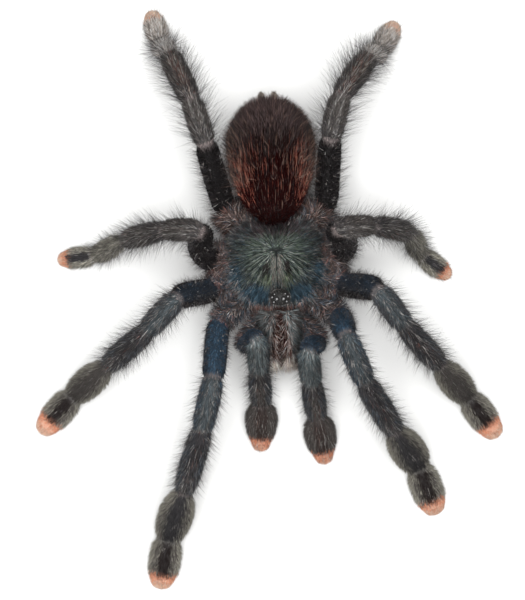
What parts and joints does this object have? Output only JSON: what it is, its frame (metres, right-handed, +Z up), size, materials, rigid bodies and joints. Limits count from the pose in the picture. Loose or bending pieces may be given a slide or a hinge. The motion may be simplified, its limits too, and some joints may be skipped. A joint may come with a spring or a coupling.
{
  "type": "tarantula specimen",
  "caption": "Dry tarantula set with its legs spread, with a hairy abdomen, domed carapace, jaws, palps and pink foot tips; stands on its feet.",
  "frame": {"origin": "bottom centre of the bounding box, on the surface that the feet rest on", "axes": "+Z up; the head points to -Y; the animal's left side is +X"},
  "size_m": [0.0925, 0.1151, 0.0223],
  "materials": {
    "carapace": "short greenish hair with a faint sheen",
    "abdomen_coat": "dense dark brown hair with longer red hair",
    "jaw_coat": "pale bristles over brown skin",
    "fang": "glossy black",
    "limb_coat": "dense dark blue-grey hair with pale bristles",
    "spinneret_coat": "short brown hair"
  },
  "bodies": {
    "root": {"cephalothorax": "carapace", "abdomen": "abdomen_coat", "chelicera_left": "jaw_coat", "chelicera_right": "jaw_coat", "fang_left": "fang", "fang_right": "fang", "pedipalp_left": "limb_coat", "pedipalp_right": "limb_coat", "spinneret_left": "spinneret_coat", "spinneret_right": "spinneret_coat", "leg_left_1": "limb_coat", "leg_left_2": "limb_coat", "leg_left_3": "limb_coat", "leg_left_4": "limb_coat", "leg_right_1": "limb_coat", "leg_right_2": "limb_coat", "leg_right_3": "limb_coat", "leg_right_4": "limb_coat"}
  },
  "joints": []
}
